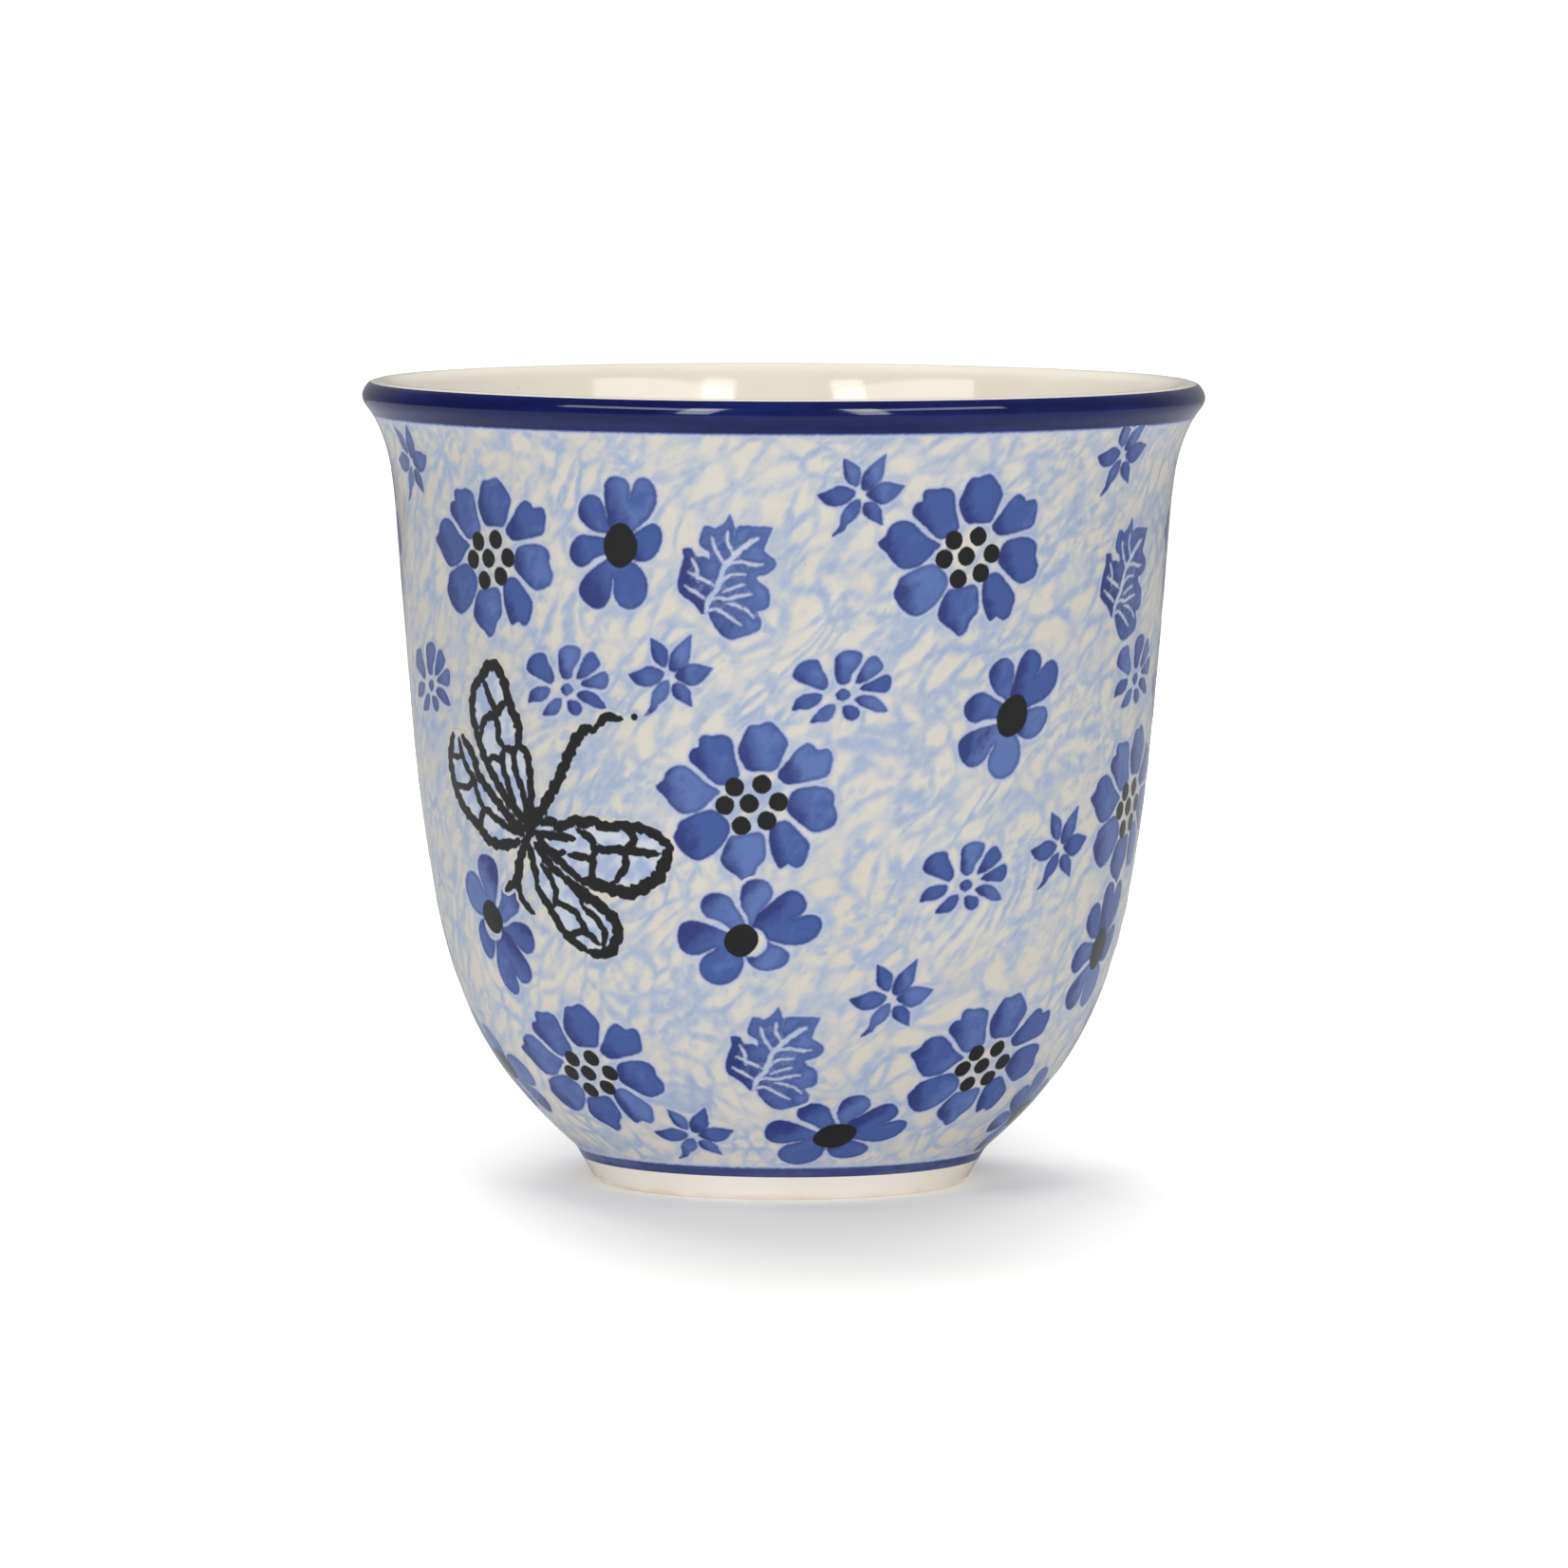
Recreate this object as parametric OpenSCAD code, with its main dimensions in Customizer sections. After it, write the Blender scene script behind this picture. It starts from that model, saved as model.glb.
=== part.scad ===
// Handle-less stoneware mug: a turned cup with a flared lip and a low foot ring.
// The clay body carries thin fired coats: cream inside and on the inner side of the lip,
// cobalt round the outside of the lip, a decorated coat on the wall, a painted line
// and a cream band at the foot, and clear glaze in the hollow under the base.
// Millimetres, +Z up, origin at the centre of the foot's bearing face.

/* [Overall] */
// Diameter across the outermost edge of the lip
rim_d = 95; // [93:0.5:98]
// Height from the bearing face to the top of the lip
height = 90.5; // [89:0.5:94]
// Diameter of the foot just above its rounded bottom edge
foot_d = 42; // [38:0.5:43]

/* [Wall] */
// Outer radius where the belly has turned upright
belly_r = 39.5; // [38.5:0.1:41]
// Height of that point
belly_z = 34; // [31:0.5:37]
// Outer radius where the wall starts to flare into the lip
neck_r = 43.5; // [42.8:0.1:44.2]
// Height of that point
neck_z = 73.5; // [71:0.5:76]
// Wall thickness at the belly and the neck
wall_t = 4; // [3:0.1:5]
// Clay and glaze between the inside floor and the hollow of the base
floor_t = 5.5; // [4:0.1:7]

/* [Lip] */
// Height of the cobalt band, measured down from the top of the lip
band_h = 3.8; // [3:0.1:4.6]
// Thickness across the rounded lip
lip_t = 3.7; // [3.2:0.1:4.2]

/* [Foot] */
// Lean of the foot's outer wall, in degrees from the bearing face
foot_lean = 59.5; // [55:0.5:70]
// Height where the painted line begins
line_z = 2.7; // [2:0.1:3.2]
// Width of the painted line, measured upright
line_h = 1; // [0.6:0.1:1.4]
// Height up to which the foot is left as bare clay
bare_h = 0.6; // [0.5:0.1:1]
// Radius of the rounding at the foot's bottom edges
foot_edge = 0.4; // [0.2:0.1:0.5]
// Width of the bearing ring
ring_w = 3.6; // [2.5:0.1:5]
// Depth of the hollow under the base
hollow_h = 2.4; // [1.5:0.1:3]

/* [Glaze] */
// Thickness of the fired coats
glaze_t = 0.3; // [0.2:0.05:0.4]

/* [Hidden] */
facets = 180;
steps = 14;

rim_r = rim_d / 2;
foot_r = foot_d / 2;
line_top_z = line_z + line_h;
floor_z = hollow_h + floor_t;
ring_inner_r = foot_r - foot_edge - ring_w;
hollow_lean = 70;

// Radius of the leaning foot wall at height z
function foot_wall_r(z) = foot_r + z / tan(foot_lean);

// A section is a path in [radius, height] that travels up the outside, over the lip
// and down the inside, so that open air is always on its right-hand side.
// Anchor: [radius, height, direction of travel in degrees, pull before it, pull after it]
foot_edge_start = [foot_r - foot_edge, 0, 0, 0, 0.25];
foot_edge_end = [foot_wall_r(foot_edge), foot_edge, foot_lean, 0.25, 0.1];
bare_end = [foot_wall_r(bare_h), bare_h, foot_lean, 0.1, 1];
line_start = [foot_wall_r(line_z), line_z, foot_lean, 1, 0.3];
line_end = [foot_wall_r(line_top_z), line_top_z, foot_lean, 0.3, 0.4];
heel = [foot_wall_r(line_top_z) + 0.7, line_top_z + 0.75, 41.5, 0.4, 12.5];
belly = [belly_r, belly_z, 80, 13.5, 12];
neck = [neck_r, neck_z, 85.6, 19, 5];
band_start = [rim_r - 1.1, height - band_h, 58, 4.2, 0.9];
lip_side = [rim_r, height - 1.75, 90, 0.8, 0.55];
lip_shoulder = [rim_r - 0.95, height - 0.2, 158, 0.5, 0.25];
lip_top = [rim_r - lip_t / 2, height, 180, 0.35, 0.7];
lip_inside = [rim_r - lip_t, height - 1.2, 243, 0.8, 3.5];
neck_inside = [neck_r - wall_t, neck_z + 0.3, 265.6, 6, 19];
belly_inside = [belly_r - wall_t, belly_z + 0.7, 260, 12, 20];
floor_centre = [0, floor_z, 180, 23, 0];

bare_path = chain([foot_edge_start, foot_edge_end, bare_end], 3);
foot_path = chain([bare_end, line_start], 2);
line_path = chain([line_start, line_end], 2);
wall_path = chain([line_end, heel, belly, neck, band_start], steps);
band_path = chain([band_start, lip_side, lip_shoulder], 6);
inner_path = chain([lip_shoulder, lip_top, lip_inside, neck_inside, belly_inside, floor_centre], steps);

// The hollow under the base, from the middle out to the bearing face
hollow_corner_r = ring_inner_r - hollow_h / tan(hollow_lean);
hollow_path = [
    [0, hollow_h],
    [hollow_corner_r, hollow_h],
    [ring_inner_r - foot_edge / tan(hollow_lean), foot_edge],
    [ring_inner_r + foot_edge / 2, 0]
];

function heading(a) = [cos(a), sin(a)];
function place(anchor) = [anchor[0], anchor[1]];
function before(anchor) = place(anchor) - anchor[3] * heading(anchor[2]);
function after(anchor) = place(anchor) + anchor[4] * heading(anchor[2]);
function unit(v) = v / norm(v);

// Point and direction of a cubic curve between two anchors, at t from 0 to 1
function curve_point(a, b, t) =
    pow(1 - t, 3) * place(a) + 3 * pow(1 - t, 2) * t * after(a)
    + 3 * (1 - t) * t * t * before(b) + pow(t, 3) * place(b);
function curve_heading(a, b, t) = unit(
    pow(1 - t, 2) * (after(a) - place(a)) + 2 * (1 - t) * t * (before(b) - after(a))
    + t * t * (place(b) - before(b)));

// All samples of a chain of anchors, each as [point, outward normal]
function sample(a, b, t) =
    let (d = curve_heading(a, b, t))
    [curve_point(a, b, t), [d[1], -d[0]]];
function chain(anchors, n) = concat(
    [for (i = [0:len(anchors) - 2], k = [0:n - 1]) sample(anchors[i], anchors[i + 1], k / n)],
    [sample(anchors[len(anchors) - 2], anchors[len(anchors) - 1], 1)]);

// The path's points, moved into the clay by depth
function face(path, depth = 0) = [for (s = path) s[0] - depth * s[1]];
function reversed(list) = [for (i = [len(list) - 1:-1:0]) list[i]];
function from_second(list) = [for (i = [1:len(list) - 1]) list[i]];

module turned(outline) {
    rotate_extrude($fn = facets) polygon(outline);
}

// A fired coat of even thickness along a path
module coat(path) {
    turned(concat(face(path), reversed(face(path, glaze_t))));
}

// The clay: its outline is the glazed surface moved in by the glaze, but for the bare foot
module stoneware_body() {
    color("#e3d8c6")
    turned(concat(
        face(bare_path),
        face(foot_path, glaze_t),
        from_second(face(line_path, glaze_t)),
        from_second(face(wall_path, glaze_t)),
        from_second(face(band_path, glaze_t)),
        from_second(face(inner_path, glaze_t)),
        hollow_path));
}

module inner_glaze() {
    color("#efe6d6") coat(inner_path);
}

module rim_band() {
    color("#1c2768") coat(band_path);
}

module outer_glaze() {
    color("#b9c3dc") coat(wall_path);
}

module foot_line() {
    color("#3c4a80") coat(line_path);
}

module foot_glaze() {
    color("#e6dccb") coat(foot_path);
}

// Clear glaze on the hollow's ceiling, out to the leaning wall of the foot ring
module base_glaze() {
    color("#e9e0d0")
    turned([
        [0, hollow_h - glaze_t],
        [hollow_corner_r + glaze_t / tan(hollow_lean), hollow_h - glaze_t],
        [hollow_corner_r, hollow_h],
        [0, hollow_h]
    ]);
}

stoneware_body();
inner_glaze();
rim_band();
outer_glaze();
foot_line();
foot_glaze();
base_glaze();
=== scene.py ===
# The looks of a stoneware cup with a stamped cobalt pattern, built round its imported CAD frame.
# Turned coats replace the plain CAD ones, and every stamped flower, leaf and dragonfly is a thin
# inlay that follows the wall. Lengths are millimetres until a mesh is made. Angles round the cup
# run from the front, -Y, towards +X.

import math
import random

import bpy
import numpy as np
from mathutils import Euler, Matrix, Quaternion, Vector, geometry


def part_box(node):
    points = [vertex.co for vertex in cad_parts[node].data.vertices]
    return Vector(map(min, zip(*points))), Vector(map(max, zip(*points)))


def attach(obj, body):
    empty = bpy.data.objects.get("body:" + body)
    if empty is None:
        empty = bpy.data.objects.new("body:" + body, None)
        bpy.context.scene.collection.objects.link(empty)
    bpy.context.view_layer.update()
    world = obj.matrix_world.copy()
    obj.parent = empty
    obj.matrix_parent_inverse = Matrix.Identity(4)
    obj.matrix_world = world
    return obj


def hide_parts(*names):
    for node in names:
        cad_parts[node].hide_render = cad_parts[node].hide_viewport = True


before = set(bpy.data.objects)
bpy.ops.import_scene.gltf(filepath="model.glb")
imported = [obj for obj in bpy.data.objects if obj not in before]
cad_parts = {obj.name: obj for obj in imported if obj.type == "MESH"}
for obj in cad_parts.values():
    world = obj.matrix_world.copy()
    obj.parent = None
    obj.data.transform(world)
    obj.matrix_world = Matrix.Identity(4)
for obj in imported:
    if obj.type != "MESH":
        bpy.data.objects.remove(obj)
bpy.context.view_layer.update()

MM = 0.001
SEGMENTS = 360
GLAZE = 0.3
# The clay and the base glaze stay this far inside the coats that cover them
CLAY_GAP = 0.01
BASE_SIDE_GAP = 0.02
BASE_TOP_GAP = 0.005


# ---------------------------------------------------------------- the turned section

# The least and greatest corners of a CAD node's box, in millimetres

def low(node):
    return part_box(node)[0] / MM


def high(node):
    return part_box(node)[1] / MM


RIM_R = high("rim_band").x
HEIGHT = high("inner_glaze").z
FLOOR_Z = low("inner_glaze").z + GLAZE
BAND_Z = low("rim_band").z
LINE_Z, LINE_R = low("foot_line").z, high("foot_glaze").x
LINE_TOP, LINE_TOP_R = low("outer_glaze").z, high("foot_line").x
BARE_Z = low("foot_glaze").z
HOLLOW_Z = high("base_glaze").z
BELLY = (39.5, 34)
NECK = (43.5, 73.5)
WALL = 4
LIP = 3.7
FOOT_EDGE = 0.4
RING = 3.6
HOLLOW_LEAN = 70
FOOT_LEAN = math.degrees(math.atan2(LINE_TOP - LINE_Z, LINE_TOP_R - LINE_R))


def foot_wall_r(z):
    """Radius of the leaning foot wall at a height."""
    return LINE_R + (z - LINE_Z) / math.tan(math.radians(FOOT_LEAN))


def hollow_inset(height):
    """How far the hollow's leaning side has come inwards at a height."""
    return height / math.tan(math.radians(HOLLOW_LEAN))


FOOT_R = foot_wall_r(0)
RING_R = FOOT_R - FOOT_EDGE - RING
HOLLOW_R = RING_R - hollow_inset(HOLLOW_Z)

# An anchor is radius, height, direction of travel in degrees, pull before it, pull after it
EDGE_START = (FOOT_R - FOOT_EDGE, 0, 0, 0, 0.25)
EDGE_END = (foot_wall_r(FOOT_EDGE), FOOT_EDGE, FOOT_LEAN, 0.25, 0.1)
BARE_END = (foot_wall_r(BARE_Z), BARE_Z, FOOT_LEAN, 0.1, 1)
LINE_START = (LINE_R, LINE_Z, FOOT_LEAN, 1, 0.3)
LINE_END = (LINE_TOP_R, LINE_TOP, FOOT_LEAN, 0.3, 0.4)
HEEL = (LINE_TOP_R + 0.7, LINE_TOP + 0.75, 41.5, 0.4, 12.5)
BELLY_OUT = (*BELLY, 80, 13.5, 12)
NECK_OUT = (*NECK, 85.6, 19, 5)
BAND_START = (RIM_R - 1.1, BAND_Z, 58, 4.2, 0.9)
LIP_SIDE = (RIM_R, HEIGHT - 1.75, 90, 0.8, 0.55)
LIP_SHOULDER = (RIM_R - 0.95, HEIGHT - 0.2, 158, 0.5, 0.25)
LIP_TOP = (RIM_R - LIP / 2, HEIGHT, 180, 0.35, 0.7)
LIP_INSIDE = (RIM_R - LIP, HEIGHT - 1.2, 243, 0.8, 3.5)
NECK_IN = (NECK[0] - WALL, NECK[1] + 0.3, 265.6, 6, 19)
BELLY_IN = (BELLY[0] - WALL, BELLY[1] + 0.7, 260, 12, 20)
FLOOR_CENTRE = (0, FLOOR_Z, 180, 23, 0)


def heading(degrees):
    """Unit step in radius and height for a direction of travel."""
    return np.array([math.cos(math.radians(degrees)), math.sin(math.radians(degrees))])


TINY = 1e-9
CURVE_SAMPLES = 90


def bezier(a, b, count):
    """Points and outward normals of the cubic between two anchors."""
    p0, p3 = np.array(a[:2], float), np.array(b[:2], float)
    p1, p2 = p0 + a[4] * heading(a[2]), p3 - b[3] * heading(b[2])
    t = np.linspace(0, 1, count)[:, None]
    point = (1 - t) ** 3 * p0 + 3 * (1 - t) ** 2 * t * p1 + 3 * (1 - t) * t * t * p2 + t ** 3 * p3
    slope = (1 - t) ** 2 * (p1 - p0) + 2 * (1 - t) * t * (p2 - p1) + t * t * (p3 - p2)
    still = np.linalg.norm(slope, axis=1) < TINY
    slope[still] = p3 - p0
    slope /= np.linalg.norm(slope, axis=1)[:, None]
    return point, np.stack([slope[:, 1], -slope[:, 0]], 1)


class Section:
    """A run of the cup's outline, looked up by its length from the foot."""

    def __init__(self, start, *anchors):
        runs = [bezier(a, b, CURVE_SAMPLES) for a, b in zip(anchors, anchors[1:])]
        self.point = np.vstack([p[:-1] for p, _ in runs] + [runs[-1][0][-1:]])
        self.normal = np.vstack([n[:-1] for _, n in runs] + [runs[-1][1][-1:]])
        steps = np.linalg.norm(np.diff(self.point, axis=0), axis=1)
        self.s = start + np.concatenate([[0], np.cumsum(steps)])
        self.start, self.end = self.s[0], self.s[-1]

    def at(self, s):
        """Radius, height and the outward normal's two parts at a length."""
        r, z, nr, nz = [np.interp(s, self.s, c) for c in (*self.point.T, *self.normal.T)]
        size = np.hypot(nr, nz)
        return r, z, nr / size, nz / size

    def at_height(self, z):
        """The length at which the outline reaches a height."""
        return float(np.interp(z, self.point[:, 1], self.s))

    def lengths(self, step):
        """Lengths from start to end, about a step apart."""
        return np.linspace(self.start, self.end, max(3, round((self.end - self.start) / step)))


edge = Section(0, EDGE_START, EDGE_END, BARE_END)
foot = Section(edge.end, BARE_END, LINE_START)
line = Section(foot.end, LINE_START, LINE_END)
wall = Section(line.end, LINE_END, HEEL, BELLY_OUT, NECK_OUT, BAND_START)
band = Section(wall.end, BAND_START, LIP_SIDE, LIP_SHOULDER)
inner = Section(band.end, LIP_SHOULDER, LIP_TOP, LIP_INSIDE, NECK_IN, BELLY_IN, FLOOR_CENTRE)

# Slow unevenness of the fired surface: waves round the cup, radians per mm along it, phase
WAVES = ((2, 0.04, 0.4), (3, -0.11, 2.1), (5, 0.21, 4.0), (4, -0.33, 1.2))
WAVE_SIZE = 0.012
# Inside this radius the waves fade out towards the axis
WAVE_FADE_R = 6


def surface(section, theta, s, lift=0.0):
    """World points in metres, and normals, on the fired surface or lift mm above it."""
    r, z, nr, nz = section.at(s)
    fade = WAVE_SIZE * np.clip(r / WAVE_FADE_R, 0, 1)
    turns = [(a, b, a * theta + b * s + c) for a, b, c in WAVES]
    depth = fade * sum(np.sin(t) - 1 for _, _, t in turns)
    lean = fade * sum(a * np.cos(t) for a, _, t in turns) / np.maximum(r, 1)
    along = fade * sum(b * np.cos(t) for _, b, t in turns)
    out = depth + lift
    radius, height = r + out * nr, z + out * nz
    sine, cosine = np.sin(theta), np.cos(theta)
    point = np.stack([radius * sine, -radius * cosine, height], -1) * MM
    n_r, n_z = nr + along * nz, nz - along * nr
    normal = np.stack([n_r * sine - lean * cosine, -n_r * cosine - lean * sine, n_z], -1)
    return point, normal / np.linalg.norm(normal, axis=-1)[..., None]


# ---------------------------------------------------------------- meshes

def new_object(name, data):
    made = bpy.data.objects.new(name, data)
    bpy.context.scene.collection.objects.link(made)
    return made


def new_piece(name, points, faces, normals, material, slot, *nodes):
    """A piece of the cup: its mesh has a shading normal at each face corner."""
    mesh = bpy.data.meshes.new(name)
    mesh.from_pydata([tuple(p) for p in points], [], faces)
    mesh.materials.append(material)
    mesh.shade_smooth()
    mesh.update()
    mesh.normals_split_custom_set([tuple(n) for n in normals])
    piece = new_object(name, mesh)
    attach(piece, "root")
    if nodes:
        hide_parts(*nodes)
    return piece


def add_attribute(piece, name, values):
    """A number or a vector at each vertex, for the material to read."""
    values = np.asarray(values, np.float32)
    flat = values.ndim == 1
    attribute = piece.data.attributes.new(name, "FLOAT" if flat else "FLOAT_VECTOR", "POINT")
    attribute.data.foreach_set("value" if flat else "vector", values.ravel())


# Radians that the brushwork turns by for each millimetre of height
TWIST = -0.012
THETA = np.arange(SEGMENTS) * 2 * math.pi / SEGMENTS


def wrap(theta, r, z):
    """Where brush strokes are looked up: the wall turned by its height, so that they slant."""
    turned = theta + TWIST * z
    return np.stack([r * np.sin(turned), -r * np.cos(turned), z], -1)


def circled(r, z):
    """A radius and height, or a direction in them, carried round the cup."""
    return np.stack([r * np.sin(THETA), -r * np.cos(THETA), np.full(SEGMENTS, z)], -1)


def face_run(section, lengths, lift=0.0, side=1):
    """Rings of points and normals along a section, one for each length."""
    return [(*surface(section, THETA, np.full(SEGMENTS, s), lift), side) for s in lengths]


def plain_runs(path):
    """One run for each straight stretch of radius and height, with a normal square to it."""
    for (r0, z0), (r1, z1) in zip(path, path[1:]):
        size = math.hypot(r1 - r0, z1 - z0)
        nr, nz = (z1 - z0) / size, (r0 - r1) / size
        normal = circled(nr, nz)
        yield [(circled(r, z) * MM, normal, 1) for r, z in ((r0, z0), (r1, z1))]


POLE_R = 1e-7


def lathe(name, runs, material, slot, *nodes):
    """A closed turned piece. Each run is rings of points, normals and the side they face, and
    starts where the last one ended, with an edge there. A ring on the axis is one point."""
    points, faces, normals = [], [], []

    def ring(at):
        pole = np.abs(at[0, :2]).max() < POLE_R
        start = len(points)
        points.extend(at[:1] * (0, 0, 1) if pole else at)
        return start, pole

    first = last = ring(runs[0][0][0])
    for run in runs:
        here = last
        for (_, n0, side0), (p1, n1, side1) in zip(run, run[1:]):
            closing = run is runs[-1] and p1 is run[-1][0]
            there = first if closing else ring(p1)
            n0, n1 = n0 * side0, n1 * side1
            for k in range(SEGMENTS):
                m = (k + 1) % SEGMENTS
                corners = [(here, k, n0), (here, m, n0), (there, m, n1), (there, k, n1)]
                if here[1]:
                    corners.pop(0)
                elif there[1]:
                    corners.pop(2)
                if here[1] and there[1]:
                    continue
                faces.append([at[0] + (0 if at[1] else i) for at, i, _ in corners])
                normals.extend(n[i] for _, i, n in corners)
            here = there
        last = here
    return new_piece(name, points, faces, normals, material, slot, *nodes)


# A coat with more rings than this has only every fourth one on its hidden back
MANY_RINGS = 40
BACK_SKIP = 4


def coat(name, section, step, material, slot):
    """A coat of even thickness: its face, its back against the clay, and its two cut ends."""
    lengths = section.lengths(step)
    face = face_run(section, lengths)
    inward = lengths[::-BACK_SKIP] if len(lengths) > MANY_RINGS else lengths[::-1]
    if inward[-1] != lengths[0]:
        inward = np.append(inward, lengths[0])
    back = face_run(section, inward, -GLAZE, -1)

    def end(outer, inner, sign):
        _, _, nr, nz = section.at(section.end if sign > 0 else section.start)
        along = circled(-nz, nr)
        return [(outer[0], along, sign), (inner[0], along, sign)]

    runs = [face, end(face[-1], back[0], 1), back, end(back[-1], face[0], -1)]
    return lathe(name, runs, material, slot, name)


# ---------------------------------------------------------------- stamp outlines

# An outline is its points, x to the right and y up the wall. A third number marks a sharp corner.
LARGE_PETALS = (
    ((-.15, 3.8), (-1.1, 5.6), (-.8, 6.9), (0, 8.5), (1.05, 8.65), (2.35, 9), (3.45, 8),
     (4.2, 6.8), (3.7, 5.4), (2.9, 3.8), (1.3, 3.7)),
    ((3.2, 3.3), (4.5, 4.9), (5.2, 5.8), (6.3, 6.6), (7.1, 6.3), (7.5, 5.8), (8.7, 5.9),
     (9.1, 5.1), (8.9, 3.8), (8.5, 3), (6.5, 2.5), (4.3, 2.2), (3.6, 2.6)),
    ((4.2, -.5), (4.5, .8), (5.2, 1.5), (7, 1.8), (8.5, 1.6), (9.3, .8), (9.2, -.3),
     (9.6, -1.4), (9.3, -2.4), (8.5, -2.9), (7.1, -3.2), (5.6, -2.2), (4.4, -1.1)),
    ((2.4, -2.7), (3.5, -2), (4.3, -2.1), (5.4, -3.2), (6.5, -4.6), (6.2, -6), (5.75, -6.9),
     (5, -7.2), (4.2, -6.7), (3.35, -7.2), (2.7, -6.2), (2.25, -4.5)),
    ((-2, -3.8), (-.9, -3.6), (1.3, -3.3), (1.7, -5.1), (1.6, -6.2), (.8, -7.1), (.3, -8.2),
     (-.5, -8.75), (-1.35, -8.1), (-2.45, -7.4), (-3.15, -6.45), (-2.8, -5.1)),
    ((-3.8, -.9), (-2.55, -1.85), (-2.2, -2.7), (-2.45, -3.6), (-3.3, -4.9), (-4.6, -6),
     (-5.95, -6.45), (-7.25, -5.8), (-8, -4.9), (-8.4, -4), (-8, -3.1), (-7.7, -2.3),
     (-6.2, -1.5), (-4.9, -1)),
    ((-3.3, 1.3), (-3.8, .8), (-5.3, -.7), (-6.6, -1.2), (-7.7, -1.2), (-8.8, -.3),
     (-9.35, .45), (-10, 1), (-10.4, 1.6), (-9.6, 2.2), (-9.2, 3.2), (-8.4, 3.8),
     (-7.3, 3.95), (-6.2, 3.4), (-4.9, 2.2)),
    ((-1.1, 3.2), (-1.8, 2.5), (-3.1, 2), (-4, 2.4), (-5.3, 3.6), (-6.5, 4.6), (-6.6, 5.25),
     (-6.2, 5.9), (-5.5, 6.1), (-5.5, 6.9), (-5.1, 7.4), (-4, 7.4), (-3.1, 7.55),
     (-2.1, 7.2), (-1.8, 6.5), (-1.6, 5.1)),
)
LARGE_DOT_R = 0.97
LARGE_DOTS = ((0, 0), (-1.6, 1.8), (1.4, 2.15), (3.2, .2), (1.9, -1.9), (-.9, -2.5), (-2.7, -.25))

ROUND_PETALS = (
    ((-1.5, 2.2), (-1.5, 3.4), (-1.7, 5), (-1.6, 6.7), (-.9, 7.6), (.1, 7.7), (1, 7.3),
     (1.3, 6.3), (1.05, 5, 1), (1.6, 6.2), (2.1, 7.2), (3, 7.7), (3.9, 7.2), (4.35, 6),
     (4.2, 4.7), (3.6, 3.6), (2.7, 2.7), (1.9, 2.1, 1), (0, .6)),
    ((1.2, 1), (2.2, 1.75), (3.2, 2.35), (4.2, 2.5), (4.8, 1.7), (4.7, .5), (4.1, -.7),
     (3.2, -1.4), (2, -1.5), (1.1, -1)),
    ((.6, -1.4), (1.6, -1.9), (2.4, -2.6), (2.95, -3.9), (2.8, -5.3), (2, -6.4), (.7, -6.85),
     (-.5, -6.3), (-1, -5.2), (-.95, -4), (-1.1, -3.3, 1), (-1.35, -4.4), (-1.6, -5.7),
     (-2.4, -6.7), (-3.4, -6.9), (-4.6, -6.3), (-5.35, -5.2), (-5, -4), (-4, -3),
     (-2.9, -2.2), (-1.9, -1.6, 1), (0, -.5)),
    ((-1.2, -.6), (-2.3, -.95), (-3.4, -1.4), (-4.4, -2.2), (-5.4, -2.3), (-6.3, -1.6),
     (-6.4, -.6), (-5.8, .5), (-4.8, 1.1), (-3.6, 1), (-2.2, .9), (-1.2, .5)),
    ((-.8, 1), (-1.9, 1.5), (-3.1, 1.6), (-4.3, 2.3), (-5.05, 3.2), (-5, 4.2), (-4.4, 5.2),
     (-3.4, 5.6), (-2.4, 5.2), (-1.9, 4.1), (-1.65, 2.9), (-1, 1.7)),
)

STAR_PETALS = (
    ((-.4, .95), (-1.75, 1.8), (-2, 4, 1), (-.25, 2.9)),
    ((.15, .6), (.15, 1.7), (.7, 2.85), (2.6, 4.5, 1), (2.45, 2.6), (2.2, 1.6), (1, .5)),
    ((.7, -.05), (1.5, .85), (2.8, 1.3), (4.9, .8, 1), (3.7, -.6), (2.45, -1.1), (1.5, -.7)),
    ((.45, -1.1), (1.5, -.95), (2.35, -1.8), (2.4, -2.4), (2.5, -3.4, 1), (1.5, -2.9),
     (.45, -2.15)),
    ((-.1, -.65), (-1, -.95), (-1.9, -2.05), (-2.2, -3.6), (-2.95, -4.6, 1), (-1.75, -3.95),
     (-1.35, -3.25), (-.5, -2.65), (-.05, -1.8)),
    ((-.6, .2), (-2.15, .9), (-3.2, .5), (-4.7, -.1, 1), (-4.05, -.85), (-2.95, -1.3),
     (-1.5, -.95)),
)

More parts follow.
